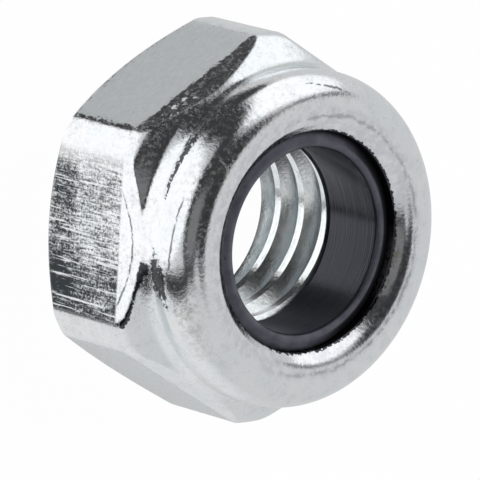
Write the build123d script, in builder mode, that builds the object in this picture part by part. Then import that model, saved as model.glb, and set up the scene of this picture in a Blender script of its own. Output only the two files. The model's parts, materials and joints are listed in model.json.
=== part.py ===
"""Nylon insert lock nut with an M5 coarse thread.

A hexagon nut is drawn up into a round collar at its top. A nylon ring sits in the collar, and the
collar's rim is rolled in over the ring, so that the ring can't turn or come out. The bolt cuts its own
thread in the nylon, which then grips it.

Millimetres, +Z up. The origin is the centre of the bearing face, so the nut stands on Z = 0.
"""
from build123d import *
import math
import os

os.makedirs("parts", exist_ok=True)

# Thread: M5 coarse. The bore is plain, at the thread's minor diameter.
thread_diameter = 5.0
thread_pitch = 0.8
entry_chamfer = 0.59
thread_height = 2.85

# Nylon ring, from its bore out to the lip
insert_step = 0.033
insert_rim_width = 0.4
insert_ridge_width = 0.16
insert_ridge_fall = 0.1
insert_recess = 0.085
insert_mouth_round = 0.12
insert_foot_chamfer = 0.1
insert_clearance = 0.01

# Rolled rim, from the lip out to the collar's wall. The lip curls down into the hole.
lip_run = 0.28
lip_slope_angle = 35.0
lip_edge_fillet = 0.04
lip_thickness = 0.24
knee_fillet = 0.5
rim_run = 0.27
rim_fall = 0.035
crest_width = 0.04
crest_fillet = 0.4
roll_radius = 0.72

# Collar
collar_height = 1.293
collar_wall = 0.56
collar_foot_recess = 0.11
collar_foot_fillet = 0.55
foot_room_used = 0.9
barrel_length = 0.12
barrel_fillet = 0.3
pocket_round = 0.42

# Hexagon, 8 mm across its flats
flat_step = 0.19
flat_height = 2.9
corner_cut = 0.18
corner_edge_fillet = 0.1
bearing_setback = 0.56
bearing_chamfer_angle = 36.0

# Pressed shoulder between the hexagon and the collar
shoulder_rise = 0.12
shoulder_angle = 38.0
shoulder_fillet = 0.5
flat_lean_angle = 14.5


def rise(run, angle):
    """Height gained over a horizontal run at a slope in degrees."""
    return run * math.tan(math.radians(angle))


def tangent_length(radius, turn):
    """Length that a fillet takes from each of two lines that meet at a turn in degrees."""
    return radius * math.tan(math.radians(turn / 2))


def corner(sketch, radius, height):
    """The corner of a half section that lies at this radius and height."""
    return sketch.vertices().sort_by_distance((radius, height, 0))[0]


def is_hexagon_edge(edge):
    """True for the upright edges where a flat meets a corner, outside the round collar and the bore."""
    middle = edge.center()
    return math.hypot(middle.X, middle.Y) > flat_radius


# Radii, from the bore outwards
thread_minor_radius = thread_diameter / 2 - 5 * math.sqrt(3) / 16 * thread_pitch
entry_radius = thread_minor_radius + entry_chamfer
insert_bore_radius = thread_minor_radius + insert_step
insert_ridge_radius = insert_bore_radius + insert_ridge_width
lip_radius = insert_bore_radius + insert_rim_width
knee_radius = lip_radius + lip_run
crest_radius = knee_radius + rim_run
collar_radius = crest_radius + crest_width + roll_radius
collar_foot_radius = collar_radius - collar_foot_recess
pocket_radius = collar_radius - collar_wall
flat_radius = collar_radius + flat_step
corner_radius = flat_radius / math.cos(math.radians(30)) - corner_cut
bearing_circle_radius = flat_radius - bearing_setback

# Heights, from the bearing face up to the crest and down again to the nylon
chamfer_top = rise(corner_radius - bearing_circle_radius, bearing_chamfer_angle)
shoulder_start = flat_height + shoulder_rise
shoulder_top = shoulder_start + rise(corner_radius - collar_foot_radius, shoulder_angle)
total_height = shoulder_top + collar_height
barrel_start = total_height - roll_radius - barrel_length
knee_height = total_height - rim_fall
lip_edge_height = knee_height - rise(lip_run, lip_slope_angle)
insert_face = lip_edge_height - insert_recess
insert_neck_height = insert_face - insert_ridge_fall
lip_underside = lip_edge_height - lip_thickness

# The collar leans in towards its foot, and the fillet there is limited by the length of that wall
foot_wall = math.hypot(collar_foot_recess, barrel_start - shoulder_top)
foot_lean = math.degrees(math.atan2(collar_foot_recess, barrel_start - shoulder_top))
foot_turn = 90 - shoulder_angle + foot_lean
foot_room = foot_wall - tangent_length(barrel_fillet, foot_lean)
foot_fillet = min(collar_foot_fillet, foot_room_used * foot_room / tangent_length(1, foot_turn))

# Half section of the steel piece, from the bearing face up the outside, over the rolled rim to the
# lip that curls down to the nylon, then down the pocket and the bore
with BuildSketch(Plane.XZ) as nut_section:
    with BuildLine():
        Polyline(
            (entry_radius, 0),
            (bearing_circle_radius, 0),
            (corner_radius, chamfer_top),
            (corner_radius, shoulder_start),
            (collar_foot_radius, shoulder_top),
            (collar_radius, barrel_start),
            (collar_radius, total_height),
            (crest_radius, total_height),
            (knee_radius, knee_height),
            (lip_radius, lip_edge_height),
            (lip_radius, lip_underside),
            (pocket_radius, lip_underside),
            (pocket_radius, thread_height),
            (thread_minor_radius, thread_height),
            (thread_minor_radius, entry_chamfer),
            close=True,
        )
    make_face()
    fillet(corner(nut_section, corner_radius, shoulder_start), shoulder_fillet)
    fillet(corner(nut_section, collar_foot_radius, shoulder_top), foot_fillet)
    fillet(corner(nut_section, collar_radius, barrel_start), barrel_fillet)
    fillet(corner(nut_section, collar_radius, total_height), roll_radius)
    fillet(corner(nut_section, crest_radius, total_height), crest_fillet)
    fillet(corner(nut_section, knee_radius, knee_height), knee_fillet)
    fillet(corner(nut_section, lip_radius, lip_edge_height), lip_edge_fillet)
    fillet(corner(nut_section, pocket_radius, lip_underside), pocket_round)

# The section is turned into a round blank, and the six flats are pressed into it. Above each flat
# the press leans in, which leaves a lens-shaped bevel that runs out at the foot of the collar. The
# press stops leaning where it stands as far out as the collar, so it never marks the collar.
bevel_top = flat_height + flat_step / math.tan(math.radians(flat_lean_angle))
with BuildPart() as nut_body:
    add(nut_section.sketch)
    revolve(axis=Axis.Z)
    for side in range(6):
        with BuildSketch(Plane.XZ.rotated((0, 0, 60 * side))) as flat_press:
            with BuildLine():
                Polyline(
                    (flat_radius, 0),
                    (flat_radius, flat_height),
                    (collar_radius, bevel_top),
                    (2 * flat_radius, bevel_top),
                    (2 * flat_radius, 0),
                    close=True,
                )
            make_face()
        extrude(amount=flat_radius, both=True, mode=Mode.SUBTRACT)
    corner_edges = nut_body.edges().filter_by(Axis.Z).filter_by(is_hexagon_edge)
    fillet(corner_edges, corner_edge_fillet)
nut_body.part.label = "nut_body"
export_step(nut_body.part, "parts/nut_body.step")

# Nylon ring, held between the pocket's floor and the rolled lip. Its face has a ridge round the bore
# and falls away towards the lip.
insert_outer_radius = pocket_radius - insert_clearance
insert_neck_radius = lip_radius - insert_clearance
with BuildPart() as nylon_insert:
    with BuildSketch(Plane.XZ) as insert_section:
        with BuildLine():
            Polyline(
                (insert_bore_radius + insert_foot_chamfer, thread_height),
                (insert_outer_radius, thread_height),
                (insert_outer_radius, lip_underside),
                (insert_neck_radius, lip_underside),
                (insert_neck_radius, insert_neck_height),
                (insert_ridge_radius, insert_face),
                (insert_bore_radius, insert_face),
                (insert_bore_radius, thread_height + insert_foot_chamfer),
                close=True,
            )
        make_face()
        fillet(corner(insert_section, insert_outer_radius, lip_underside), pocket_round)
        fillet(corner(insert_section, insert_bore_radius, insert_face), insert_mouth_round)
    revolve(axis=Axis.Z)
nylon_insert.part.label = "nylon_insert"
export_step(nylon_insert.part, "parts/nylon_insert.step")

for piece in (nut_body, nylon_insert):
    size = piece.part.bounding_box().size
    print(piece.part.label, "solids", len(piece.part.solids()), "volume", round(piece.part.volume, 2),
          "size", round(size.X, 3), round(size.Y, 3), round(size.Z, 3))
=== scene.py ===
# %% [markdown]
# A nylon insert lock nut, dressed for its picture.
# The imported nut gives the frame: its size, its place and its two solids. This lesson models the steel
# body again with a real thread and soft pressed edges, models the nylon ring with its rounded mouth, and
# gives both their finish. All lengths are written in millimetres and turned into metres by MM.

import json
import math

import bmesh
import bpy
from mathutils import Matrix, Vector

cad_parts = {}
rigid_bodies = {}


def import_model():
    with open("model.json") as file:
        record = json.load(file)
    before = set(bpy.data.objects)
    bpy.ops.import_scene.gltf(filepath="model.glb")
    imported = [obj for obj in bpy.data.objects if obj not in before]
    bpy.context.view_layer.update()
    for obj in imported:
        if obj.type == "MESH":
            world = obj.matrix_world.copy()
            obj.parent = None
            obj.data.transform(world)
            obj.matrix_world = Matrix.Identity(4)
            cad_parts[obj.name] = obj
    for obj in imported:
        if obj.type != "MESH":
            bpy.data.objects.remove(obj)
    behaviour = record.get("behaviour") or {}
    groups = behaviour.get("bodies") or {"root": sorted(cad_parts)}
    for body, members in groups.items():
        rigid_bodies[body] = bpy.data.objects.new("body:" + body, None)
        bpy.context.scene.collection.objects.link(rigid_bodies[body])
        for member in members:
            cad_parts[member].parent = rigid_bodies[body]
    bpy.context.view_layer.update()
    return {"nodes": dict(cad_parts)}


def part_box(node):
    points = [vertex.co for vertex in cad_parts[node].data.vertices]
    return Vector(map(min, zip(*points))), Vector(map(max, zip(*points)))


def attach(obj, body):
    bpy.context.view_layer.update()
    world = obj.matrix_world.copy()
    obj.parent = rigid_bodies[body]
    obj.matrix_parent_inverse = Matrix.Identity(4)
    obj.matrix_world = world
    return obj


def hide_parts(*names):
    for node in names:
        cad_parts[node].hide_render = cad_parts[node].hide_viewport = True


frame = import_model()
MM = 0.001
print("nodes:", sorted(frame["nodes"]))

# %% [markdown]
# The camera is the first thing to settle, because every shape is seen through it as in the photograph.
# The photograph was taken from far away with a long lens, so the nut shows hardly any perspective.
# The nut stands on its bearing face here, and the photograph shows it lying over to the right, so the
# camera is rolled until the nut's axis points the way that it does there.

# %% Camera
VIEW_AZIMUTH = math.radians(14.09)
VIEW_ELEVATION = math.radians(47.89)
VIEW_DISTANCE = 175.99 * MM
VIEW_TARGET = Vector((0.350, 0.053, 2.469)) * MM
AXIS_CLOCKWISE_FROM_UP = math.radians(105.1)
LENS_LENGTH = 591.2
SENSOR_WIDTH = 36
NEAREST_SEEN = 0.01


def camera_rotation(back):
    """Columns right, up and back of a camera that shows the nut's axis at its angle from image up."""
    axis_in_view = (Vector((0, 0, 1)) - back.z * back).normalized()
    across_axis = axis_in_view.cross(back)
    up = math.cos(AXIS_CLOCKWISE_FROM_UP) * axis_in_view - math.sin(AXIS_CLOCKWISE_FROM_UP) * across_axis
    right = up.cross(back)
    return Matrix((right, up, back)).transposed().to_4x4()


view_back = Vector((
    math.sin(VIEW_AZIMUTH) * math.cos(VIEW_ELEVATION),
    -math.cos(VIEW_AZIMUTH) * math.cos(VIEW_ELEVATION),
    math.sin(VIEW_ELEVATION),
))
camera_data = bpy.data.cameras.new("camera")
camera_data.lens = LENS_LENGTH
camera_data.sensor_width = SENSOR_WIDTH
camera_data.clip_start = NEAREST_SEEN
camera = bpy.data.objects.new("camera", camera_data)
camera.matrix_world = Matrix.Translation(VIEW_TARGET + VIEW_DISTANCE * view_back) @ camera_rotation(view_back)
scene = bpy.context.scene
scene.collection.objects.link(camera)
scene.camera = camera
scene.view_settings.view_transform = "Standard"
print("camera at", [round(value / MM, 2) for value in camera.location])

# %% [markdown]
# The main sizes come from the frame: half the box across the flats, half the box across the corners and
# the height. The rest of the half section is stacked from the bore outwards, as the real nut is pressed,
# turned and rolled. Radii are measured from the nut's axis and heights from its bearing face.

# %% Sizes of the hexagon and its thread
body_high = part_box("nut_body")[1]
FLAT_RADIUS = body_high[0] / MM
CORNER_RADIUS = body_high[1] / MM
TOTAL_HEIGHT = body_high[2] / MM

THREAD_PITCH = 0.8
THREAD_MAJOR_RADIUS = 2.5
THREAD_MINOR_RADIUS = THREAD_MAJOR_RADIUS - 5 * math.sqrt(3) / 16 * THREAD_PITCH
THREAD_HEIGHT = 2.85
ENTRY_CHAMFER = 0.59
ENTRY_RADIUS = THREAD_MINOR_RADIUS + ENTRY_CHAMFER

BEARING_SETBACK = 0.56
BEARING_SLOPE = math.tan(math.radians(36))
BEARING_RADIUS = FLAT_RADIUS - BEARING_SETBACK
CHAMFER_TOP = (CORNER_RADIUS - BEARING_RADIUS) * BEARING_SLOPE
FLAT_HEIGHT = 2.9
FLAT_STEP = 0.19
FLAT_LEAN = math.tan(math.radians(14.5))
SHOULDER_RISE = 0.12
SHOULDER_START = FLAT_HEIGHT + SHOULDER_RISE
SHOULDER_SLOPE = math.tan(math.radians(38))
print("across flats", round(2 * FLAT_RADIUS, 3), "corners", round(2 * CORNER_RADIUS, 3), "mm")

# %% [markdown]
# The collar's wall leans in towards its foot, and the foot lies on the shoulder's cone. The wall leans in
# less here than in the solid, so its foot lies further out and lower on that cone. The rim is rolled over
# in a quarter of a circle, runs almost level to its knee and curls down to the lip's edge.

# %% Sizes of the collar and its rim
COLLAR_RADIUS = FLAT_RADIUS - FLAT_STEP
COLLAR_HEIGHT = 1.293
COLLAR_WALL = 0.56
FOOT_RECESS = 0.05
SOLID_FOOT_RECESS = 0.11
FOOT_RADIUS = COLLAR_RADIUS - FOOT_RECESS
FOOT_HEIGHT = TOTAL_HEIGHT - COLLAR_HEIGHT - (SOLID_FOOT_RECESS - FOOT_RECESS) * SHOULDER_SLOPE
ROLL_RADIUS = 0.72
BARREL_LENGTH = 0.12
BARREL_START = TOTAL_HEIGHT - ROLL_RADIUS - BARREL_LENGTH
POCKET_RADIUS = COLLAR_RADIUS - COLLAR_WALL
POCKET_ROUND = 0.42

RING_STEP = 0.033
RING_RIM_WIDTH = 0.4
LIP_RUN = 0.28
LIP_SLOPE = math.tan(math.radians(35))
LIP_THICKNESS = 0.24
RIM_RUN = 0.27
RIM_FALL = 0.035
LIP_RADIUS = THREAD_MINOR_RADIUS + RING_STEP + RING_RIM_WIDTH
KNEE_RADIUS = LIP_RADIUS + LIP_RUN
CREST_RADIUS = KNEE_RADIUS + RIM_RUN
KNEE_HEIGHT = TOTAL_HEIGHT - RIM_FALL
LIP_EDGE_HEIGHT = KNEE_HEIGHT - LIP_RUN * LIP_SLOPE
LIP_UNDERSIDE = LIP_EDGE_HEIGHT - LIP_THICKNESS
print("collar", round(2 * COLLAR_RADIUS, 3), "hole in the rim", round(2 * LIP_RADIUS, 3), "mm")

# %% [markdown]
# Both pieces are round about the axis, so each starts as a half section that is spun. A section is drawn
# the way it is by hand: one vertex, extruded from corner to corner. Its corners are then rounded with a
# vertex bevel. Its long runs are divided, because the flats need rows to bend and the painted masks need
# vertices to sit on. The helpers find vertices by their place, since an operator acts on whatever is
# selected.

# %% Helpers for drawing a section
WELD_REACH = 0.0005 * MM


def in_section(radius, height):
    """A point of the half section, which lies on the XZ plane."""
    return Vector((radius, 0, height)) * MM


def select_points(piece, points):
    """Selects only the vertices that lie at these points."""
    bpy.ops.mesh.select_all(action="DESELECT")
    mesh = bmesh.from_edit_mesh(piece.data)
    for vertex in mesh.verts:
        vertex.select = any((vertex.co - point).length < WELD_REACH for point in points)
    mesh.select_flush_mode()
    bmesh.update_edit_mesh(piece.data)


def draw_section(name, corners, closed=True):
    """Extrudes one vertex along a list of (radius, height) corners and stays in edit mode."""
    bpy.ops.object.select_all(action="DESELECT")
    bpy.ops.mesh.primitive_plane_add(size=MM, location=in_section(*corners[0]))
    piece = bpy.context.active_object
    piece.name = name
    bpy.ops.object.transform_apply(location=True)
    bpy.ops.object.mode_set(mode="EDIT")
    bpy.ops.mesh.merge(type="CENTER")
    for start, end in zip(corners, corners[1:]):
        step = in_section(*end) - in_section(*start)
        bpy.ops.mesh.extrude_region_move(TRANSFORM_OT_translate={"value": step})
    if closed:
        select_points(piece, [in_section(*corners[0]), in_section(*corners[-1])])
        bpy.ops.mesh.edge_face_add()
    return piece


# %% Helpers for rounding, dividing and spinning a section
def round_corner(piece, before, corner, after, radius, segments):
    """Rounds a corner of the section. The bevel's offset is the length of the arc's tangents."""
    to_before = in_section(*before) - in_section(*corner)
    to_after = in_section(*after) - in_section(*corner)
    tangent = radius / math.tan(to_before.angle(to_after) / 2)
    select_points(piece, [in_section(*corner)])
    bpy.ops.mesh.bevel(offset_type="OFFSET", offset=tangent * MM, segments=segments, affect="VERTICES")


def round_corners(piece, corners, rounded):
    """Rounds the named corners of a section, each with its own radius and number of segments."""
    names = list(corners)
    for name, (radius, segments) in rounded.items():
        place = names.index(name)
        before, after = corners[names[place - 1]], corners[names[place + 1]]
        round_corner(piece, before, corners[name], after, radius, segments)


def divide_long_runs(piece, longest):
    """Divides the section's edges until none is longer than the length that the function allows there."""
    mesh = bmesh.from_edit_mesh(piece.data)
    runs = [(edge.calc_length() / MM, [vertex.co.copy() for vertex in edge.verts]) for edge in mesh.edges]
    for length, ends in runs:
        middle = (ends[0] + ends[1]) / 2 / MM
        cuts = math.ceil(length / longest(middle.x, middle.z)) - 1
        if cuts > 0:
            select_points(piece, ends)
            bpy.ops.mesh.subdivide(number_cuts=cuts)


def spin_section(piece, steps):
    """Turns the section once about the nut's axis and closes the seam, with its faces pointing out."""
    bpy.ops.mesh.select_all(action="SELECT")
    bpy.ops.mesh.spin(steps=steps, angle=2 * math.pi, center=(0, 0, 0), axis=(0, 0, 1))
    bpy.ops.mesh.select_all(action="SELECT")
    bpy.ops.mesh.remove_doubles(threshold=WELD_REACH)
    bpy.ops.mesh.normals_make_consistent(inside=False)
    bpy.ops.object.mode_set(mode="OBJECT")


# %% [markdown]
# The steel body is one piece of metal. Its blank is a turned ring with a countersunk bore, a cone at each
# end of the hexagon, a thin collar with its rim rolled in, and a pocket under the rim for the nylon.
# The section carries all of that. The bore is drawn plain here, at the thread's minor radius.

# %% Half section of the blank
body_corners = {
    "entry": (ENTRY_RADIUS, 0),
    "bearing": (BEARING_RADIUS, 0),
    "chamfer": (CORNER_RADIUS, CHAMFER_TOP),
    "shoulder": (CORNER_RADIUS, SHOULDER_START),
    "foot": (FOOT_RADIUS, FOOT_HEIGHT),
    "barrel": (COLLAR_RADIUS, BARREL_START),
    "roll": (COLLAR_RADIUS, TOTAL_HEIGHT),
    "crest": (CREST_RADIUS, TOTAL_HEIGHT),
    "knee": (KNEE_RADIUS, KNEE_HEIGHT),
    "lip": (LIP_RADIUS, LIP_EDGE_HEIGHT),
    "lip_foot": (LIP_RADIUS, LIP_UNDERSIDE),
    "pocket": (POCKET_RADIUS, LIP_UNDERSIDE),
    "seat": (POCKET_RADIUS, THREAD_HEIGHT),
    "thread_top": (THREAD_MINOR_RADIUS, THREAD_HEIGHT),
    "thread_foot": (THREAD_MINOR_RADIUS, ENTRY_CHAMFER),
}
BODY_ROUNDED = {
    # corner: (radius, segments)
    "bearing": (0.06, 3),
    "shoulder": (0.5, 12),
    "foot": (0.45, 16),
    "barrel": (2.2, 8),
    "roll": (ROLL_RADIUS, 28),
    "crest": (0.4, 3),
    "knee": (0.5, 8),
    "lip": (0.04, 4),
    "lip_foot": (0.04, 3),
    "pocket": (POCKET_ROUND, 6),
}
body = draw_section("steel_body", list(body_corners.values()))
round_corners(body, body_corners, BODY_ROUNDED)

# %% Spin the blank
CHAMFER_ROW, FLAT_ROW, RIM_ROW, PLAIN_ROW = 0.06, 0.038, 0.04, 0.4
FOOT_FILLET_REACH = 0.2
BODY_STEPS = 324


def longest_row(radius, height):
    """Rows are close on the chamfer, the flats and the rim, and wide where the surface is plain."""
    if radius > BEARING_RADIUS and height < CHAMFER_TOP:
        return CHAMFER_ROW
    if radius > FOOT_RADIUS and CHAMFER_TOP < height < FOOT_HEIGHT + FOOT_FILLET_REACH:
        return FLAT_ROW
    if radius > LIP_RADIUS and height > BARREL_START:
        return RIM_ROW
    return PLAIN_ROW


divide_long_runs(body, longest_row)
rows = len(bmesh.from_edit_mesh(body.data).edges)
spin_section(body, BODY_STEPS)
print("blank:", rows, "rows,", len(body.data.polygons), "faces")

# %% [markdown]
# The hexagon is pressed into the round blank, so the six flats end in curves against the two cones, and
# above each flat the press leans in and leaves a lens-shaped bevel. A boolean with a hexagonal die would
# give the same shape with knife-sharp edges, and the real edges are soft. The press is therefore a short
# formula on the vertices: each one keeps its height and angle and moves in to whichever is nearer to the
# axis, the blank or the die, and the two are blended over a few hundredths where they meet.

# %% Press the six flats
EDGE_SOFTNESS = 0.08
SHOULDER_SOFTNESS = 0.05
SHOULDER_REACH = 0.1


def soft_minimum(first, second, softness):
    """The smaller of two values, rounded where they cross."""
    overlap = max(softness - abs(first - second), 0) / softness
    return min(first, second) - overlap * overlap * softness / 4


def die_radius(angle, height):
    """Distance from the axis to the press's face, in the direction of the angle."""
    across = math.radians(60)
    from_middle = (angle + across / 2) % across - across / 2
    lean = min(max(height - FLAT_HEIGHT, 0) * FLAT_LEAN, FLAT_STEP)
    return (FLAT_RADIUS - lean) / math.cos(from_middle)


for vertex in body.data.vertices:
    x, y, z = vertex.co / MM
    radius = math.hypot(x, y)
    if radius < BEARING_RADIUS or z > FLAT_HEIGHT + FLAT_STEP / FLAT_LEAN:
        continue
    softness = SHOULDER_SOFTNESS if z > FLAT_HEIGHT - SHOULDER_REACH else EDGE_SOFTNESS
    pressed = soft_minimum(radius, die_radius(math.atan2(y, x), z), softness)
    vertex.co.x *= pressed / radius
    vertex.co.y *= pressed / radius
print("pressed six flats")

# %% [markdown]
# A tap cuts the thread, and it does so here too. The tap is a right-handed screw: one pitch of its
# outline, screwed up the axis by a Screw modifier and cut flat at both ends. The outline starts half a
# pitch before the middle of a groove, four pitches below the first groove in the bore.

# %% Outline of the tap
TAP_CORE_RADIUS = THREAD_MINOR_RADIUS - 0.07
GROOVE_MIDDLE_AT_ZERO = 0.514
GROOVE_BOTTOM_WIDTH = THREAD_PITCH / 8
GROOVE_ROUND = 0.03
FLANK_SLOPE = math.tan(math.radians(30))
half_flank = (THREAD_MAJOR_RADIUS - TAP_CORE_RADIUS) * FLANK_SLOPE
tap_start = GROOVE_MIDDLE_AT_ZERO - 4.5 * THREAD_PITCH
tap_outline = [
    (TAP_CORE_RADIUS, tap_start),
    (TAP_CORE_RADIUS, tap_start + THREAD_PITCH / 2 - GROOVE_BOTTOM_WIDTH / 2 - half_flank),
    (THREAD_MAJOR_RADIUS, tap_start + THREAD_PITCH / 2 - GROOVE_BOTTOM_WIDTH / 2),
    (THREAD_MAJOR_RADIUS, tap_start + THREAD_PITCH / 2 + GROOVE_BOTTOM_WIDTH / 2),
    (TAP_CORE_RADIUS, tap_start + THREAD_PITCH / 2 + GROOVE_BOTTOM_WIDTH / 2 + half_flank),
    (TAP_CORE_RADIUS, tap_start + THREAD_PITCH),
]
tap = draw_section("tap", tap_outline, closed=False)
for place in (2, 3):
    round_corner(tap, tap_outline[place - 1], tap_outline[place], tap_outline[place + 1], GROOVE_ROUND, 3)
bpy.ops.object.mode_set(mode="OBJECT")

# %% Turn the outline into a screw
TAP_TURNS = 8
STEPS_A_TURN = 240
TAP_OVERRUN = 0.3
screw = tap.modifiers.new("screw", "SCREW")
screw.screw_offset = THREAD_PITCH * MM
screw.iterations = TAP_TURNS
screw.steps = screw.render_steps = STEPS_A_TURN
screw.use_merge_vertices = True
screw.merge_threshold = WELD_REACH
bpy.ops.object.modifier_apply(modifier="screw")
bpy.ops.object.mode_set(mode="EDIT")
bpy.ops.mesh.select_all(action="SELECT")
bpy.ops.mesh.remove_doubles(threshold=WELD_REACH)
for height, clear_above in ((-TAP_OVERRUN, False), (THREAD_HEIGHT + TAP_OVERRUN, True)):
    bpy.ops.mesh.select_all(action="SELECT")
    bpy.ops.mesh.bisect(plane_co=(0, 0, height * MM), plane_no=(0, 0, 1), use_fill=True,
                        clear_inner=not clear_above, clear_outer=clear_above, threshold=0.0001 * MM)
bpy.ops.mesh.select_all(action="SELECT")
bpy.ops.mesh.normals_make_consistent(inside=False)
bpy.ops.object.mode_set(mode="OBJECT")
print("tap:", len(tap.data.polygons), "faces")

# %% [markdown]
# Taking the tap away from the body leaves a true M5 thread that runs out in the countersink, as a tapped
# thread does. Both meshes are closed, so the quick and exact manifold solver can do it.

# %% Tap the thread
bpy.ops.object.select_all(action="DESELECT")
bpy.context.view_layer.objects.active = body
cut = body.modifiers.new("thread", "BOOLEAN")
cut.operation = "DIFFERENCE"
cut.solver = "MANIFOLD"
cut.object = tap
bpy.ops.object.modifier_apply(modifier="thread")
bpy.data.objects.remove(tap)
body.data.materials.clear()
print("tapped body:", len(body.data.polygons), "faces")

# %% [markdown]
# The ring is turned from nylon, pressed into the pocket and held there by the rolled rim. What shows is
# its upper rim, its rounded mouth and its bore, a little wider than the thread so that a bolt can start.
# It is a section of its own, spun like the blank, and it takes its seat from the body's values.

# %% Nylon ring
RING_CLEARANCE = 0.01
RING_RECESS = 0.085
RING_RIDGE_WIDTH = 0.16
RING_RIDGE_FALL = 0.1
RING_FOOT_CHAMFER = 0.1
RING_STEPS = 300
RING_ROW = 0.06
RING_OUTER = POCKET_RADIUS - RING_CLEARANCE
RING_NECK = LIP_RADIUS - RING_CLEARANCE
RING_BORE = THREAD_MINOR_RADIUS + RING_STEP
RING_TOP = LIP_EDGE_HEIGHT - RING_RECESS
ring_corners = {
    "foot_edge": (RING_BORE + RING_FOOT_CHAMFER, THREAD_HEIGHT),
    "foot": (RING_OUTER, THREAD_HEIGHT),
    "shoulder": (RING_OUTER, LIP_UNDERSIDE),
    "neck_foot": (RING_NECK, LIP_UNDERSIDE),
    "neck": (RING_NECK, RING_TOP - RING_RIDGE_FALL),
    "ridge": (RING_BORE + RING_RIDGE_WIDTH, RING_TOP),
    "mouth": (RING_BORE, RING_TOP),
    "bore_foot": (RING_BORE, THREAD_HEIGHT + RING_FOOT_CHAMFER),
}
RING_ROUNDED = {"shoulder": (POCKET_ROUND, 6), "ridge": (0.15, 4), "mouth": (0.12, 8)}
ring = draw_section("nylon_ring", list(ring_corners.values()))
round_corners(ring, ring_corners, RING_ROUNDED)
divide_long_runs(ring, lambda radius, height: RING_ROW if radius < LIP_RADIUS else PLAIN_ROW)
spin_section(ring, RING_STEPS)
print("ring:", len(ring.data.polygons), "faces")

# %% [markdown]
# Turned and rolled surfaces are smooth, and edges sharper than 35 degrees stay edges. Smoothing by angle
# does both at once, where shading all of it smooth would smear light over the countersink's rim.

# %% Smooth shading
SHARP_ANGLE = math.radians(35)
for piece in (body, ring):
    bpy.ops.object.select_all(action="DESELECT")
    piece.select_set(True)
    bpy.context.view_layer.objects.active = piece
    bpy.ops.object.shade_smooth_by_angle(angle=SHARP_ANGLE)
    print("shaded", piece.name)

# %% [markdown]
# The finish differs from place to place, so both pieces carry painted masks, as a texture artist would
# paint them. A mask is a number on every vertex, mostly from 0 to 1, and the material reads it by name.
# Masks can be painted by hand or kept in a picture. Here each one is worked out from where its vertex
# lies, in millimetres and degrees, so it needs no picture and stays on the shape when a size changes.


# %% Helpers for the masks
def smooth_step(low, high, value):
    """0 below low, 1 above high and a soft rise between them."""
    share = min(max((value - low) / (high - low), 0), 1)
    return share * share * (3 - 2 * share)


def between(low, high, fade, value):
    """1 from low to high, with a soft fade outside."""
    return smooth_step(low - fade, low, value) * (1 - smooth_step(high, high + fade, value))


def radius_and_angle(place):
    """Distance from the nut's axis in millimetres, and the direction from it in degrees."""
    return math.hypot(place.x, place.y), math.degrees(math.atan2(place.y, place.x)) % 360


def point_at(radius, angle, height):
    """The point at this distance from the axis, in this direction in degrees, at this height."""
    return Vector((radius * math.cos(math.radians(angle)), radius * math.sin(math.radians(angle)), height))


OUTSIDE = (3.5, 3.6)


def outer_patch(place, angles, heights, fades, outside=OUTSIDE):
    """1 on a patch of the outside between two angles and two heights, with a fade for each pair."""
    radius, angle = radius_and_angle(place)
    on_patch = between(*angles, fades[0], angle) * between(*heights, fades[1], place.z)
    return on_patch * smooth_step(*outside, radius)


# %% [markdown]
# Nuts are plated by the hundred in a turning barrel, where their flats rub against each other, some more
# than others. "rubbed" says how much, and "deep" where the marks go deeper. "film" marks the flats that
# kept the plate's matte film, and "in_flat" rises from a flat's border inwards, so that the film can end
# in a ragged line. "pressed" is the shoulder above the flats. A small patch there gets painted glints:
# bright white specks that stand for light sparkling on it.

# %% Masks of the flats and the shoulder
RUBBED_BY_SIDE = (0.12, 0.75, 0.3, 0.55, 0.0, 1.0)
FILM_HALF_WIDTH = 1.92
FILM_BORDER = 0.2


def flat_masks(place):
    """Masks of the six flats, and of the shoulder that the press left above them."""
    radius, angle = radius_and_angle(place)
    side = int((angle + 30) // 60) % 6
    from_middle = math.radians((angle + 30) % 60 - 30)
    along_flat = radius * math.sin(from_middle)
    to_flat = FLAT_RADIUS - radius * math.cos(from_middle)
    on_flat = 1 - smooth_step(0.003, 0.014, to_flat)
    on_flat *= 1 - smooth_step(FLAT_HEIGHT - 0.04, FLAT_HEIGHT + 0.02, place.z)
    less_at_one_end = 0.2 + 0.8 * smooth_step(-1.95, -1.3, along_flat)
    to_border = min(FLAT_HEIGHT - place.z, FILM_HALF_WIDTH - abs(along_flat),
                    place.z - (radius - BEARING_RADIUS) * BEARING_SLOPE)
    return {
        "rubbed": on_flat * RUBBED_BY_SIDE[side] * less_at_one_end,
        "deep": 0.45 + 0.25 * between(0.7, 1.15, 0.3, place.z) + 0.3 * smooth_step(-0.3, 1.3, along_flat),
        "film": (1 - smooth_step(0.02, 0.05, to_flat)) * (1 - RUBBED_BY_SIDE[side]),
        "in_flat": min(max(to_border / FILM_BORDER, 0), 1),
        "pressed": between(FLAT_HEIGHT, FOOT_HEIGHT + 0.25, 0.1, place.z) * smooth_step(3.3, 3.5, radius),
        # Painted glints: a patch of bright white specks on the shoulder.
        "glint_patch": outer_patch(place, (247, 256), (3.04, 3.28), (2, 0.05)),
    }


# %% [markdown]
# On the rim the finish changes in rings. "rim" is the satin annulus that the tool rolled and "lip" its torn
# inner edge. At the lip's edge, where the nylon lies against it, a dark slit of painted shade is laid on,
# darker on one side. The thin metal of the lip has cracks on one side and old dirt on another: "crack"
# and "dirt".


# %% Masks of the rolled rim
def on_rim(place):
    """1 on the rolled rim, down to the lip's underside."""
    return smooth_step(LIP_UNDERSIDE - 0.02, LIP_UNDERSIDE, place.z)


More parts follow.
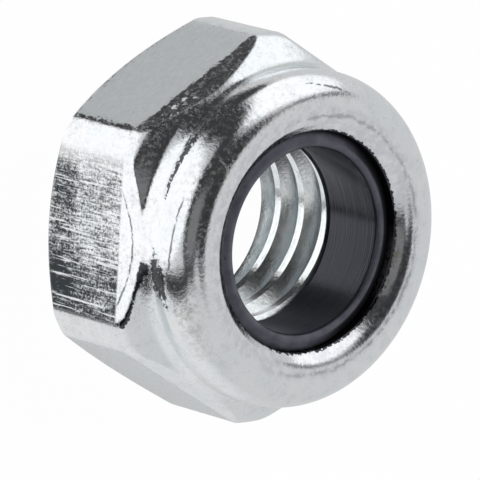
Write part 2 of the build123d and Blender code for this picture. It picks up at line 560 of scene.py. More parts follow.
def rim_masks(place):
    """Masks of the rolled rim, from its crest in to the lip."""
    radius, angle = radius_and_angle(place)
    rim = on_rim(place)
    # Painted shade: the dark slit at the lip's edge, darker on one side.
    gap_shade_strength = 0.75 + 0.25 * between(50, 200, 20, angle)
    return {
        "rim": rim * (1 - smooth_step(CREST_RADIUS - 0.05, CREST_RADIUS + 0.1, radius)),
        "lip": rim * (1 - smooth_step(KNEE_RADIUS - 0.1, KNEE_RADIUS + 0.12, radius)),
        "painted_gap_shade": rim * (1 - smooth_step(LIP_RADIUS, LIP_RADIUS + 0.11, radius)) * gap_shade_strength,
        "dirt": rim * (1 - smooth_step(2.6, 2.74, radius)) * between(97, 112, 16, angle),
        "crack": rim * (1 - smooth_step(2.72, 2.8, radius)) * between(20, 62, 8, angle),
    }


# %% [markdown]
# Four thin dark lines run over the plate: one in the crease that the rolling tool left on the rim, one on
# the roll, one on the collar's wall and one on a bevel. The line in the crease is painted shade, where the
# crease would be dark. The other three are dark marks in the plate. A painted line would be as coarse as
# the mesh. The mask "line" holds the signed distance to the nearest line instead. It changes evenly from
# vertex to vertex, and the material draws the line, as fine as it likes, where the distance passes zero.
# "line_depth" says where a line runs and how strong it is.

# %% Thin lines
LINE_FINENESS = 2.2
WALL_TOP = 4.65
ROLL_INNER_RADIUS = 3.3


def line_distance(place):
    """Signed distance to the nearest line. All but the rim's are finer, so their distance counts for more."""
    radius, angle = radius_and_angle(place)
    if place.z < BARREL_START:
        bevel_line = 3.25 - 0.0011 * (angle - 302) ** 2
        return LINE_FINENESS * (place.z - bevel_line)
    if place.z < WALL_TOP and radius > OUTSIDE[0]:
        wall_line = 4.45 - 0.0048 * (angle - 282)
        return LINE_FINENESS * (place.z - wall_line)
    if radius > ROLL_INNER_RADIUS:
        roll_line = 3.45 + 0.011 * (angle - 200)
        return LINE_FINENESS * (radius - roll_line)
    crease = 2.92 + 0.06 * math.cos(math.radians(angle - 65))
    return radius - crease


def line_depth(place):
    """How strong the line is: the rim's crease is long and faint, and the other three short and deep."""
    radius, angle = radius_and_angle(place)
    off_roll = 1 - smooth_step(ROLL_INNER_RADIUS - 0.1, ROLL_INNER_RADIUS, radius)
    # The crease's dark line is painted shade, where the crease would be dark.
    on_crease = on_rim(place) * between(30, 215, 25, angle) * off_roll
    on_bevel = outer_patch(place, (282, 322), (FLAT_HEIGHT + 0.04, 3.35), (2, 0.05))
    on_wall = outer_patch(place, (284, 304), (4.25, 4.55), (4, 0.05))
    on_roll = smooth_step(ROLL_INNER_RADIUS, ROLL_INNER_RADIUS + 0.05, radius)
    on_roll *= smooth_step(WALL_TOP, WALL_TOP + 0.03, place.z) * between(200, 226, 4, angle)
    return max(on_crease, 3.0 * on_bevel, 3.5 * on_wall, 3.5 * on_roll)


# %% [markdown]
# Dark marks lie above the flats: at both ends of the bright band round the collar's foot, in two wedges,
# and in a line beside one bevel. The line is metal that the press tore where it leans in. Torn metal is
# dark, because it holds dirt and throws no light back. The two wedges are painted dark reflection: the dark
# that the metal there mirrors is laid on as colour. The wedges are given here as bands that narrow, and
# their ragged borders come in the material.

# %% Torn metal and painted dark reflection
WAIST_HEIGHT = 3.93


def torn_metal_and_dark_reflection(place):
    """1 where the metal above the flats is torn, and on two wedges of painted dark reflection."""
    radius, angle = radius_and_angle(place)
    if radius < OUTSIDE[0]:
        return 0
    width = max(0.28 - 0.01 * (angle - 254), 0.04)
    off_waist = abs(place.z - WAIST_HEIGHT)
    # The upper and the lower wedge are painted dark reflection, and the line beside the bevel is torn metal.
    upper = between(263, 278, 8, angle) * (1 - smooth_step(0.2 * width, 1.3 * width, off_waist))
    off_lower = abs(angle - 310 - 14 * (place.z - 3.95))
    lower = between(3.8, 4.12, 0.14, place.z) * (1 - smooth_step(2, 11, off_lower))
    off_bevel = die_radius(math.radians(angle), place.z) - radius
    beside_bevel = between(0.006, 0.045, 0.03, off_bevel) * smooth_step(0.001, 0.004, off_bevel)
    beside_bevel *= between(307, 331, 3, angle) * between(FLAT_HEIGHT + 0.16, 3.6, 0.1, place.z)
    return max(upper, lower, beside_bevel)


# %% [markdown]
# Small stains give the plate its history: a dull patch on the roll and a spot beside it, and two places at
# the collar's foot where the passivation dried green.

# %% Stains
SPOT = point_at(3.45, 21, 4.79)


def stain_masks(place):
    """Masks of the stained places on the collar."""
    dull_patch = outer_patch(place, (314, 334), (4.4, 4.72), (8, 0.12), outside=(3.3, 3.5))
    spot = 2 - 2 * smooth_step(0.03, 0.08, (place - SPOT).length)
    green_foot = 0.6 * outer_patch(place, (200, 218), (3.54, 3.68), (6, 0.06))
    green_wall = outer_patch(place, (313, 326), (3.86, 3.98), (6, 0.08))
    return {"stain": max(dull_patch, spot), "green": max(green_foot, green_wall)}


# %% [markdown]
# The nylon needs two masks only. "inside" is its bore, which the tool left with fine rings. The other is
# painted shade where no light reaches the ring: under the lip, on the rim's far side, and in a part of the
# bore. It also holds one small dark speck on the rim.

# %% Masks of the ring
SPECK = point_at(2.36, 304.5, RING_TOP)


def ring_masks(place):
    """The nylon's masks at one place, with a small dark speck on its rim."""
    radius, angle = radius_and_angle(place)
    inside = 1 - smooth_step(RING_BORE + 0.01, RING_BORE + 0.05, radius)
    # Painted shade on the rim's far side, under the lip and in a part of the bore, and a dark speck.
    far_side = smooth_step(2.23, 2.31, radius) * between(65, 165, 30, angle)
    under_lip = smooth_step(2.42, 2.47, radius)
    dark_bore = 0.5 * inside * (1 - smooth_step(62, 95, angle))
    speck = 1 - smooth_step(0.02, 0.07, (place - SPECK).length)
    return {"painted_shade_and_speck": max(far_side, under_lip, dark_bore, speck), "inside": inside}


# %% [markdown]
# All masks of a vertex are worked out together and written as float attributes of the mesh. The thread's
# mask, "bore", and the mask of the torn metal and the painted dark reflection join the rest here.


# %% Paint the masks
def body_masks(place):
    """All masks at one place of the steel body."""
    in_bore = 1 - smooth_step(ENTRY_RADIUS - 0.02, ENTRY_RADIUS, math.hypot(place.x, place.y))
    return {
        **flat_masks(place),
        **rim_masks(place),
        **stain_masks(place),
        "bore": in_bore * (1 - smooth_step(THREAD_HEIGHT, THREAD_HEIGHT + 0.05, place.z)),
        "gouge_and_dark_reflection": torn_metal_and_dark_reflection(place),
        "line": line_distance(place),
        "line_depth": line_depth(place),
    }


def paint_masks(piece, masks_at):
    """Writes the masks of every vertex to float attributes and gives their names."""
    painted = [masks_at(vertex.co / MM) for vertex in piece.data.vertices]
    for mask_name in painted[0]:
        layer = piece.data.attributes.new(mask_name, "FLOAT", "POINT")
        layer.data.foreach_set("value", [values[mask_name] for values in painted])
    return list(painted[0])


body_mask_names = paint_masks(body, body_masks)
print("masks:", body_mask_names, paint_masks(ring, ring_masks))

# %% [markdown]
# Every material is wired from a few kinds of node, so short helpers keep the wiring readable. Patterns
# read Object coordinates, scaled so that one unit is a millimetre.


# %% Helpers for wiring nodes
def add_node(tree, kind, **settings):
    """A node with its plain settings."""
    node = tree.nodes.new(kind)
    for name, value in settings.items():
        setattr(node, name, value)
    return node


def feed(tree, socket, value):
    """Links a socket to another's output, or sets its value."""
    if isinstance(value, bpy.types.NodeSocket):
        tree.links.new(value, socket)
    else:
        socket.default_value = value


def calculate(tree, operation, *values):
    """A math node with its inputs fed in order."""
    node = add_node(tree, "ShaderNodeMath", operation=operation)
    for socket, value in zip(node.inputs, values):
        feed(tree, socket, value)
    return node.outputs[0]


def soft_threshold(tree, value, low, high):
    """Turns a pattern into a mask: 0 at low, 1 at high."""
    node = add_node(tree, "ShaderNodeMapRange", interpolation_type="SMOOTHSTEP")
    feed(tree, node.inputs["Value"], value)
    feed(tree, node.inputs["From Min"], low)
    feed(tree, node.inputs["From Max"], high)
    return node.outputs["Result"]


# %% Helpers for mixing
def mix_colors(tree, factor, first, second):
    """The first colour where the factor is 0, the second where it is 1."""
    node = add_node(tree, "ShaderNodeMix", data_type="RGBA")
    feed(tree, node.inputs["Factor"], factor)
    feed(tree, node.inputs[6], first)
    feed(tree, node.inputs[7], second)
    return node.outputs[2]


def mix_values(tree, factor, first, second):
    """The first value where the factor is 0, the second where it is 1."""
    node = add_node(tree, "ShaderNodeMix", data_type="FLOAT")
    feed(tree, node.inputs["Factor"], factor)
    feed(tree, node.inputs[2], first)
    feed(tree, node.inputs[3], second)
    return node.outputs[0]


def lay_over(tree, under, where, strength, color):
    """Lays a colour over another one where the mask is 1, as strongly as the strength says."""
    return mix_colors(tree, calculate(tree, "MULTIPLY", where, strength), under, color)


# %% Helpers for patterns and masks
def place_in_mm(tree, stretch=(1, 1, 1)):
    """Object coordinates in millimetres, squeezed along each axis by the stretch."""
    source = add_node(tree, "ShaderNodeTexCoord")
    mapping = add_node(tree, "ShaderNodeMapping")
    feed(tree, mapping.inputs["Vector"], source.outputs["Object"])
    mapping.inputs["Scale"].default_value = [value / MM for value in stretch]
    return mapping.outputs["Vector"]


def noise_pattern(tree, place, scale, detail=3, roughness=0.55):
    """A soft random pattern from 0 to 1, with this many grains to the millimetre."""
    node = add_node(tree, "ShaderNodeTexNoise")
    feed(tree, node.inputs["Vector"], place)
    feed(tree, node.inputs["Scale"], scale)
    node.inputs["Detail"].default_value = detail
    node.inputs["Roughness"].default_value = roughness
    return node.outputs["Fac"]


def read_mask(tree, name):
    """A painted mask of the piece."""
    return add_node(tree, "ShaderNodeAttribute", attribute_name=name).outputs["Fac"]


# %% [markdown]
# Two effects come again and again, each time at another scale, so each is a node group with its values as
# inputs. "grain" is the fine unevenness of a surface, for steel and nylon. "hatch" is a field of fine
# scratches in one direction, broken up so that none runs on for ever. Copies of the same nodes would do
# the same, but a group is mended in one place. Both put out a height, and a mask that marks more of the
# pattern the more coverage it gets.


# %% Helpers for node groups
def new_group(name, inputs, outputs):
    """A shader node group with named sockets. It returns the group, its input and its output nodes."""
    group = bpy.data.node_groups.new(name, "ShaderNodeTree")
    for socket_name, kind, value in inputs:
        socket = group.interface.new_socket(socket_name, in_out="INPUT", socket_type=kind)
        socket.default_value = value
    for socket_name, kind in outputs:
        group.interface.new_socket(socket_name, in_out="OUTPUT", socket_type=kind)
    return group, group.nodes.new("NodeGroupInput").outputs, group.nodes.new("NodeGroupOutput").inputs


def use_group(tree, group, **values):
    """Places a group in a material and feeds its inputs by name, with _ for a space."""
    node = add_node(tree, "ShaderNodeGroup", node_tree=group)
    for name, value in values.items():
        feed(tree, node.inputs[name.replace("_", " ")], value)
    return node.outputs


def mark_highest(group, pattern, coverage, fade):
    """A mask of the pattern's highest parts. None is marked without coverage, and most at full coverage."""
    low = calculate(group, "SUBTRACT", 0.75, calculate(group, "MULTIPLY", coverage, 0.5))
    return soft_threshold(group, pattern, low, calculate(group, "ADD", low, fade))


# %% Groups: grain and hatch
HEIGHT_AND_MASK = [("Height", "NodeSocketFloat"), ("Mask", "NodeSocketFloat")]
grain, grain_in, grain_out = new_group(
    "grain",
    [("Grains per mm", "NodeSocketFloat", 14.0), ("Coverage", "NodeSocketFloat", 0.5)],
    HEIGHT_AND_MASK,
)
fine = noise_pattern(grain, place_in_mm(grain), grain_in["Grains per mm"], detail=4, roughness=0.6)
feed(grain, grain_out["Height"], fine)
feed(grain, grain_out["Mask"], mark_highest(grain, fine, grain_in["Coverage"], 0.07))

hatch, hatch_in, hatch_out = new_group(
    "hatch",
    [("Direction", "NodeSocketVector", (1, 1, 0.2)), ("Lines per mm", "NodeSocketFloat", 14.0),
     ("Coverage", "NodeSocketFloat", 0.5)],
    HEIGHT_AND_MASK,
)
squeeze = add_node(hatch, "ShaderNodeVectorMath", operation="MULTIPLY")
feed(hatch, squeeze.inputs[0], place_in_mm(hatch))
feed(hatch, squeeze.inputs[1], hatch_in["Direction"])
lines = noise_pattern(hatch, squeeze.outputs[0], hatch_in["Lines per mm"], detail=3, roughness=0.65)
feed(hatch, hatch_out["Height"], lines)
feed(hatch, hatch_out["Mask"], mark_highest(hatch, lines, hatch_in["Coverage"], 0.06))
print("groups:", [group.name for group in bpy.data.node_groups])

# %% [markdown]
# Bright zinc plate over pressed steel. One flat metal colour would do from far away, but real plate drifts
# between a bluer and a paler grey, with dull clouds in it. Wear, stains and film are laid over that colour
# one after the other in the next cells, in the order in which they came to be on the nut.

# %% Zinc plate
BLUE_PLATE = (0.82, 0.855, 0.88, 1)
PALE_PLATE = (0.865, 0.872, 0.89, 1)
DULL_PLATE = (0.71, 0.745, 0.755, 1)
zinc = bpy.data.materials.new("zinc_plate")
zinc.use_nodes = True
tree = zinc.node_tree
shader = tree.nodes["Principled BSDF"]
mask = {name: read_mask(tree, name) for name in body_mask_names}
place = place_in_mm(tree)
drift = soft_threshold(tree, noise_pattern(tree, place, 0.7, detail=2), 0.35, 0.65)
plate = mix_colors(tree, drift, BLUE_PLATE, PALE_PLATE)
cloud = noise_pattern(tree, place, 3.0, detail=4, roughness=0.65)
plate = mix_colors(tree, soft_threshold(tree, cloud, 0.45, 0.85), plate, DULL_PLATE)
patches = soft_threshold(tree, noise_pattern(tree, place, 1.5, detail=2), 0.3, 0.7)
ragged = soft_threshold(tree, noise_pattern(tree, place, 9.0, detail=5, roughness=0.7), 0.34, 0.66)
print("zinc plate reads", len(mask), "masks")

# %% [markdown]
# The rubbed flats are one field of scratches along the axis, scratches round it and fine dents. Each could
# be a layer of its own, but on the real flats they cut across each other. So they are blended into one
# height, and all of it that lies above a limit turns nearly black. The scratches and dents are wear, and
# their black is painted reflection of the dark they mirror. Where the flat is rubbed deeper the limit is
# lower, and more of the field shows. A few long scrapes have laid the bright metal bare again.

# %% Wear on the flats, with painted dark reflection
WORN_AND_DARK_REFLECTION = (0.03, 0.036, 0.041, 1)
SCRAPED = (0.82, 0.84, 0.85, 1)
along_axis = use_group(tree, hatch, Direction=(1, 1, 0.1), Lines_per_mm=20.0)["Height"]
around_axis = use_group(tree, hatch, Direction=(0.25, 0.25, 1.3), Lines_per_mm=13.0)["Height"]
dents = use_group(tree, grain, Grains_per_mm=17.0)["Height"]
field = mix_values(tree, 0.5, mix_values(tree, 0.2, along_axis, around_axis), dents)
depth = calculate(tree, "MULTIPLY", mask["deep"], mix_values(tree, patches, 0.22, 0.34))
limit = calculate(tree, "SUBTRACT", 0.5, depth)
wear_and_dark_reflection = soft_threshold(tree, field, limit, calculate(tree, "ADD", limit, 0.26))
# The worn scratches and dents are wear; their near-black colour is painted dark reflection.
plate = mix_colors(tree, calculate(tree, "MULTIPLY", wear_and_dark_reflection, mask["rubbed"]), plate, WORN_AND_DARK_REFLECTION)
scrapes = use_group(tree, hatch, Direction=(1, 1, 0.045), Lines_per_mm=14.0, Coverage=0.36)["Mask"]
scrapes = calculate(tree, "MULTIPLY", scrapes, mask["rubbed"])
plate = lay_over(tree, plate, scrapes, 0.8, SCRAPED)
print("wear: scratches, dents and scrapes")

# %% [markdown]
# The rolled rim is a shade bluer and cloudy. The thread was cut before plating and keeps a green cast,
# with streaks that run round it. Stains come last: the two green places, the dull patch, and small grey
# spots all over.

# %% Rim, thread and stains
RIM_SHADOW, RIM_LIGHT = (0.67, 0.69, 0.735, 1), (0.85, 0.86, 0.89, 1)
THREAD_SHADOW, THREAD_LIGHT = (0.79, 0.845, 0.86, 1), (0.96, 0.975, 0.985, 1)
GREEN_STAIN = (0.60, 0.71, 0.67, 1)
BROWN_STAIN = (0.50, 0.475, 0.44, 1)
GREY_SPOT = (0.42, 0.425, 0.42, 1)
rim_cloud = soft_threshold(tree, noise_pattern(tree, place, 4.5, detail=5, roughness=0.65), 0.38, 0.62)
plate = lay_over(tree, plate, mask["rim"], 0.75, mix_colors(tree, rim_cloud, RIM_SHADOW, RIM_LIGHT))
streaks = use_group(tree, hatch, Direction=(0.3, 0.3, 1.5), Lines_per_mm=9.0)["Height"]
streaks = soft_threshold(tree, streaks, 0.35, 0.65)
plate = mix_colors(tree, mask["bore"], plate, mix_colors(tree, streaks, THREAD_SHADOW, THREAD_LIGHT))
plate = lay_over(tree, plate, mask["green"], 0.7, GREEN_STAIN)
blots = noise_pattern(tree, place, 5.0, detail=6, roughness=0.75)
stain = calculate(tree, "MULTIPLY", mask["stain"], soft_threshold(tree, blots, 0.42, 0.6))
plate = lay_over(tree, plate, stain, 0.4, BROWN_STAIN)
spots = soft_threshold(tree, blots, 0.58, 0.74)
plate = lay_over(tree, plate, spots, 0.45, GREY_SPOT)
print("rim, thread and stains laid over the plate")

# %% [markdown]
# The lip is the thinnest metal of the nut, and the rolling tool strained it. It holds old dirt on one side,
# is finely cracked on another, and ends in a ragged edge. Before the nylon, a black gap of painted shade is
# laid on its edge. The cracks are the borders of a Voronoi pattern's cells. The painted gap's border is its
# mask plus a ragged pattern, cut off at a limit, which makes a torn edge out of a smooth one.

# %% The torn lip, with painted shade in its gap
DIRT = (0.24, 0.235, 0.205, 1)
CRACK = (0.16, 0.16, 0.17, 1)
GAP_SHADE = (0.05, 0.05, 0.057, 1)
dirt_grain = use_group(tree, grain, Grains_per_mm=6.0)["Height"]
dirt = calculate(tree, "MULTIPLY", mask["dirt"], soft_threshold(tree, dirt_grain, 0.33, 0.6))
plate = mix_colors(tree, dirt, plate, DIRT)
cells = add_node(tree, "ShaderNodeTexVoronoi", feature="DISTANCE_TO_EDGE")
feed(tree, cells.inputs["Vector"], place)
cells.inputs["Scale"].default_value = 4.5
cracks = calculate(tree, "SUBTRACT", 1, soft_threshold(tree, cells.outputs["Distance"], 0.0, 0.06))
cracks = calculate(tree, "MULTIPLY", mask["crack"], cracks)
cracks = calculate(tree, "MULTIPLY", cracks, soft_threshold(tree, spots, 0.4, 0.7))
plate = lay_over(tree, plate, cracks, 0.45, CRACK)
# Painted shade: a black gap at the lip's edge, before the nylon.
painted_gap_shade = calculate(tree, "ADD", mask["painted_gap_shade"], mix_values(tree, ragged, -0.45, 0.15))
plate = mix_colors(tree, soft_threshold(tree, painted_gap_shade, 0.42, 0.55), plate, GAP_SHADE)
print("lip: dirt, cracks and gap")

# %% [markdown]
# The thin lines are drawn where their distance passes zero: the painted shade in the rim's crease and the
# dark marks alike. A wavering pattern is added to the distance, so that no line is a perfect arc, and
# another one makes them come and go. The torn metal and the painted dark reflection beside them get their
# ragged border in the same way as the painted shade of the gap.

# %% Thin lines, torn metal and painted dark reflection
LINE = (0.24, 0.24, 0.26, 1)
TORN_AND_DARK_REFLECTION = (0.045, 0.048, 0.054, 1)
waver = mix_values(tree, noise_pattern(tree, place, 5.0, detail=5, roughness=0.65), -0.13, 0.13)
off_line = calculate(tree, "ABSOLUTE", calculate(tree, "ADD", mask["line"], waver))
line = calculate(tree, "SUBTRACT", 1, soft_threshold(tree, off_line, 0.0, 0.075))
come_and_go = soft_threshold(tree, noise_pattern(tree, place, 4.0, detail=3), 0.36, 0.56)
line = calculate(tree, "MULTIPLY", line, calculate(tree, "MULTIPLY", mask["line_depth"], come_and_go))
# Painted shade in the rim's crease, and dark marks on the roll, the wall and the bevel.
plate = lay_over(tree, plate, line, 0.5, LINE)
# Painted dark reflection on the two wedges, and torn metal beside the bevel, both with ragged borders.
torn_and_reflection = calculate(tree, "ADD", mask["gouge_and_dark_reflection"], mix_values(tree, ragged, -0.75, 0.12))
plate = lay_over(tree, plate, soft_threshold(tree, torn_and_reflection, 0.14, 0.36), 0.96, TORN_AND_DARK_REFLECTION)
print("lines and torn metal laid over the plate")

# %% [markdown]
# Flats that weren't rubbed keep the plate's matte film. It has a faint grain along the flat and a few dark
# nicks, and it ends in a ragged border. On the shoulder, painted glints are laid on as bright white specks.

# %% Film on the unrubbed flats, and painted glints
FILM_SHADOW, FILM_LIGHT = (0.75, 0.80, 0.82, 1), (0.89, 0.92, 0.93, 1)
NICK = (0.12, 0.12, 0.12, 1)
PAINTED_GLINT = (0.95, 0.95, 0.95, 1)
film_grain = use_group(tree, hatch, Direction=(1, 1, 2.5), Lines_per_mm=7.0)["Height"]
film_color = mix_colors(tree, soft_threshold(tree, film_grain, 0.3, 0.7), FILM_SHADOW, FILM_LIGHT)
nicks = soft_threshold(tree, noise_pattern(tree, place, 4.5, detail=5, roughness=0.7), 0.64, 0.68)
film_color = lay_over(tree, film_color, nicks, 0.8, NICK)
film = calculate(tree, "ADD", mask["in_flat"], mix_values(tree, ragged, -0.35, 0.2))
film = calculate(tree, "MULTIPLY", soft_threshold(tree, film, 0.1, 0.35), mask["film"])
plate = lay_over(tree, plate, film, 0.85, film_color)
# Painted glints: bright white specks, matte, on the shoulder's patch.
painted_glints = soft_threshold(tree, noise_pattern(tree, place, 8.0, detail=3), 0.55, 0.62)
painted_glints = calculate(tree, "MULTIPLY", mask["glint_patch"], painted_glints)
plate = mix_colors(tree, painted_glints, plate, PAINTED_GLINT)
feed(tree, shader.inputs["Base Color"], plate)
print("film and crumbs laid over the plate")

# %% [markdown]
# Gloss tells the finishes apart as much as colour does. Clean plate mirrors sharply, and fine rough specks
# on it scatter the light, so they show pale where the plate mirrors something dark. The film and the dirt
# aren't bare metal, so they are rougher and hardly metallic, which keeps such a flat grey from any side.

# %% Gloss of the plate
specks = noise_pattern(tree, place, 10.0, detail=4, roughness=0.65)
specks = soft_threshold(tree, specks, 0.46, 0.64)
specks = calculate(tree, "MULTIPLY", specks, mix_values(tree, patches, 0.35, 1.0))
gloss = mix_values(tree, specks, 0.09, 0.34)
ROUGHNESS_UNDER_MASK = (
    (mask["rim"], 0.15),
    (mask["lip"], 0.1),
    (mask["bore"], 0.18),
    (film, 0.42),
    (mask["rubbed"], 0.2),
    (painted_glints, 0.5),
    (dirt, 0.5),
)
for where, roughness in ROUGHNESS_UNDER_MASK:
    gloss = mix_values(tree, where, gloss, roughness)
feed(tree, shader.inputs["Roughness"], gloss)
metal = mix_values(tree, specks, 1.0, 0.88)
for where, metallic in ((film, 0.24), (painted_glints, 0.1), (dirt, 0.3)):
    metal = mix_values(tree, where, metal, metallic)
feed(tree, shader.inputs["Metallic"], metal)
print("gloss changes under", len(ROUGHNESS_UNDER_MASK), "masks")

# %% [markdown]
# Grain, scratches, pits and thin lines are finer than the mesh, so they are one height for a Bump node.
# Modelled as shapes they would take millions of faces and look the same at this size.

# %% Relief of the plate
skin = use_group(tree, grain, Grains_per_mm=13.0)["Height"]
skin = mix_values(tree, mask["rubbed"], skin, field)
pits = use_group(tree, grain, Grains_per_mm=24.0, Coverage=0.36)["Mask"]
pit_depth = calculate(tree, "MULTIPLY", patches, mix_values(tree, mask["pressed"], 0.05, 0.2))
pits = calculate(tree, "MULTIPLY", pits, pit_depth)
skin = calculate(tree, "SUBTRACT", skin, calculate(tree, "ADD", pits, calculate(tree, "MULTIPLY", line, 0.3)))


def add_relief(tree, shader, height, strength):
    """A Bump node that turns a height of up to a hundredth of a millimetre into relief."""
    bump = add_node(tree, "ShaderNodeBump")
    feed(tree, bump.inputs["Height"], height)
    bump.inputs["Strength"].default_value = strength
    bump.inputs["Distance"].default_value = 0.01 * MM
    feed(tree, shader.inputs["Normal"], bump.outputs["Normal"])


add_relief(tree, shader, skin, 0.4)
body.data.materials.append(zinc)
print("zinc plate:", len(tree.nodes), "nodes")

# %% [markdown]
# The ring is dark slate nylon, half gloss, with a soft haze on its rim and fine rings in its bore, where
# the tool turned it. Under the lip and on its shaded side the real ring throws nothing of the studio
# back, so shade is painted there and in a part of the bore, beside one small dark speck. A dark
# colour alone would still shine there, because nylon's gloss doesn't depend on its colour. A metal's
# does, so the painted shade is made nearly metallic and nearly black, which mirrors almost nothing.

# %% Nylon
SLATE_SHADOW, SLATE_LIGHT = (0.060, 0.061, 0.077, 1), (0.110, 0.110, 0.134, 1)
BORE_SHADOW, BORE_LIGHT = (0.005, 0.006, 0.012, 1), (0.030, 0.031, 0.040, 1)
SHADE_AND_SPECK_NYLON = (0.036, 0.036, 0.042, 1)
nylon = bpy.data.materials.new("slate_nylon")
nylon.use_nodes = True
tree = nylon.node_tree
shader = tree.nodes["Principled BSDF"]
shader.inputs["Specular Tint"].default_value = (0.80, 0.83, 1.0, 1)
shader.inputs["Specular IOR Level"].default_value = 0.6
painted_shade_and_speck, inside = read_mask(tree, "painted_shade_and_speck"), read_mask(tree, "inside")
haze = use_group(tree, grain, Grains_per_mm=3.0)["Height"]
turned_rings = noise_pattern(tree, place_in_mm(tree, (0.4, 0.4, 22)), 1.0, detail=2)
slate = mix_colors(tree, soft_threshold(tree, haze, 0.3, 0.7), SLATE_SHADOW, SLATE_LIGHT)
bore_color = mix_colors(tree, soft_threshold(tree, turned_rings, 0.4, 0.66), BORE_SHADOW, BORE_LIGHT)
slate = lay_over(tree, slate, inside, 0.95, bore_color)
# Painted shade, and the speck: a nearly black colour, made nearly metallic below.
feed(tree, shader.inputs["Base Color"], mix_colors(tree, painted_shade_and_speck, slate, SHADE_AND_SPECK_NYLON))
ring_gloss = mix_values(tree, inside, mix_values(tree, haze, 0.35, 0.55), 0.2)
feed(tree, shader.inputs["Roughness"], mix_values(tree, painted_shade_and_speck, ring_gloss, 0.5))
feed(tree, shader.inputs["Metallic"], calculate(tree, "MULTIPLY", painted_shade_and_speck, 0.85))
add_relief(tree, shader, turned_rings, 0.8)
ring.data.materials.append(nylon)
print("nylon:", len(tree.nodes), "nodes")

# %% [markdown]
# Zinc plate has almost no colour of its own: it shows what stands round it. The nut is therefore lit as
# small bright parts are in a studio, inside a white tent. Three panels are brighter than the tent's walls.
# The opening that the camera looks through stays dark, and so do the gaps between the walls, where a
# curtain or the dark room shows. Real panels and curtains round the nut would do the same, but patches of
# the world take no room and throw no noise. The camera itself sees plain white.

# %% Panels of the studio
TENT = 0.66
PANELS = (
    # name, azimuth, elevation, half width, half height (degrees), softness, brightness
    ("low_front", -5, -30, 50, 40, 0.6, 0.82),
    ("overhead_gap", 180, 81.5, 22.5, 22.5, 0.2, 0.04),
    ("camera_opening", -85, 57, 36, 29, 0.12, 0.045),
    ("opening_corner", 8, 67, 9, 9, 0.3, 0.6),
    ("camera_disc", -64, 56, 16, 16, 0.3, 0.2),
    ("side_curtain", -131.5, -8, 16.5, 54, 0.1, 0.045),
    ("low_curtain", -158, -40, 12.5, 22, 0.12, 0.05),
    ("right_strip", -30.5, -2, 8.5, 60, 0.1, 0.05),
    ("front_panel", -78, -28, 34, 54, 0.08, 1.15),
    ("far_panel", 184, 16, 26, 37, 0.08, 1.15),
    ("thin_gap", 148, 42, 3, 16, 0.5, 0.10),
)
world = bpy.data.worlds.new("studio")
scene.world = world
world.use_nodes = True
tree = world.node_tree
tree.nodes.clear()
direction = add_node(tree, "ShaderNodeTexCoord").outputs["Generated"]
print("panels:", [panel[0] for panel in PANELS])

# %% [markdown]
# A panel is measured in its own frame: how far a direction points along the panel's middle, its side and
# its top. Its border is a rounded square, where the sum of the two cubed distances is 1.

# %% World
BEHIND_PANEL = 0.001


def share_along(vector):
    """How far the direction that is seen points along a vector."""
    node = add_node(tree, "ShaderNodeVectorMath", operation="DOT_PRODUCT")
    feed(tree, node.inputs[0], direction)
    feed(tree, node.inputs[1], vector)
    return node.outputs["Value"]


def panel_mask(azimuth, elevation, half_width, half_height, softness):
    """1 inside a rounded patch of the studio's wall, 0 outside, with a soft border."""
    turn, tilt = math.radians(azimuth), math.radians(elevation)
    middle = Vector((math.cos(turn) * math.cos(tilt), math.sin(turn) * math.cos(tilt), math.sin(tilt)))
    side = Vector((-math.sin(turn), math.cos(turn), 0))
    top = middle.cross(side)
    depth = share_along(middle)
    safe_depth = calculate(tree, "MAXIMUM", depth, BEHIND_PANEL)
    across = calculate(tree, "DIVIDE", share_along(side / math.tan(math.radians(half_width))), safe_depth)
    upward = calculate(tree, "DIVIDE", share_along(top / math.tan(math.radians(half_height))), safe_depth)
    cubes = [calculate(tree, "POWER", calculate(tree, "ABSOLUTE", value), 3) for value in (across, upward)]
    spread = calculate(tree, "POWER", calculate(tree, "ADD", *cubes), 1 / 3)
    inside = calculate(tree, "SUBTRACT", 1, soft_threshold(tree, spread, 1 - softness, 1 + softness))
    return calculate(tree, "MULTIPLY", inside, calculate(tree, "GREATER_THAN", depth, BEHIND_PANEL))


level = TENT
for name, azimuth, elevation, half_width, half_height, softness, brightness in PANELS:
    on_panel = panel_mask(azimuth, elevation, half_width, half_height, softness)
    level = mix_values(tree, on_panel, level, brightness)
seen_by_camera = add_node(tree, "ShaderNodeLightPath").outputs["Is Camera Ray"]
background = add_node(tree, "ShaderNodeBackground")
feed(tree, background.inputs["Color"], mix_values(tree, seen_by_camera, level, 1.0))
output = add_node(tree, "ShaderNodeOutputWorld")
feed(tree, output.inputs["Surface"], background.outputs["Background"])
print("world:", len(tree.nodes), "nodes")

# %% [markdown]
# The nut stands on a white floor. A lit floor is never quite white, so the camera sees almost pure white
# light from it, and the small rest of it takes the nut's shadow. The metal doesn't mirror the floor,
# because the tent's lower half stands for it.

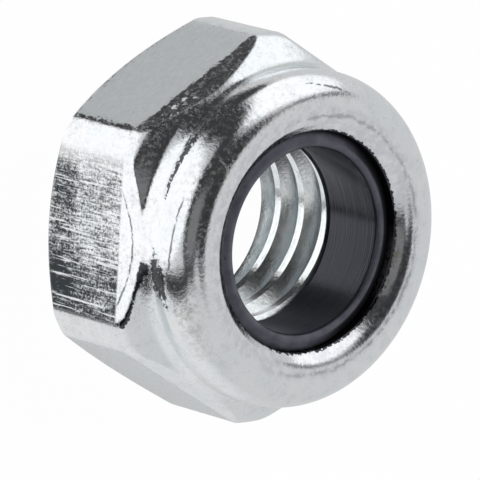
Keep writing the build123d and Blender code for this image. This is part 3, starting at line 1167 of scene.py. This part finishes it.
# %% Floor
FLOOR_RADIUS = 3
FLOOR_GLOW_SHARE = 0.98
bpy.ops.object.select_all(action="DESELECT")
bpy.ops.mesh.primitive_circle_add(vertices=64, radius=FLOOR_RADIUS, fill_type="NGON", location=(0, 0, 0))
floor = bpy.context.active_object
floor.name = "floor"
floor_material = bpy.data.materials.new("white_floor")
floor_material.use_nodes = True
tree = floor_material.node_tree
shader = tree.nodes["Principled BSDF"]
shader.inputs["Base Color"].default_value = (0.85, 0.85, 0.85, 1)
shader.inputs["Roughness"].default_value = 0.8
glow = add_node(tree, "ShaderNodeEmission")
glow.inputs["Strength"].default_value = 1
seen_by_camera = add_node(tree, "ShaderNodeLightPath").outputs["Is Camera Ray"]
mixer = add_node(tree, "ShaderNodeMixShader")
feed(tree, mixer.inputs[0], calculate(tree, "MULTIPLY", seen_by_camera, FLOOR_GLOW_SHARE))
feed(tree, mixer.inputs[1], shader.outputs["BSDF"])
feed(tree, mixer.inputs[2], glow.outputs["Emission"])
feed(tree, tree.nodes["Material Output"].inputs["Surface"], mixer.outputs["Shader"])
floor.data.materials.append(floor_material)
floor.visible_glossy = False
print("floor:", floor.name, 2 * FLOOR_RADIUS, "m across")

# %% [markdown]
# One large soft lamp from above and behind gives the matte places and the nylon a direction of light. The
# metal doesn't mirror it, so it adds no spot to the plate.

# %% Lamp
LAMP_SIZE = 0.12
LAMP_POWER = 0.15
LAMP_PLACE = Vector((-0.12, 0.05, 0.16))
lamp_data = bpy.data.lights.new("soft_lamp", "AREA")
lamp_data.size = LAMP_SIZE
lamp_data.energy = LAMP_POWER
lamp = bpy.data.objects.new("soft_lamp", lamp_data)
scene.collection.objects.link(lamp)
lamp.location = LAMP_PLACE
lamp.rotation_euler = (-lamp.location).to_track_quat("-Z", "Y").to_euler()
lamp.visible_glossy = False
print("lamp:", LAMP_POWER, "W,", LAMP_SIZE, "m wide")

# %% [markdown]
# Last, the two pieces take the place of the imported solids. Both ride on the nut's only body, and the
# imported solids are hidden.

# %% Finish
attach(body, "root")
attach(ring, "root")
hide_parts("nut_body")
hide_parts("nylon_insert")
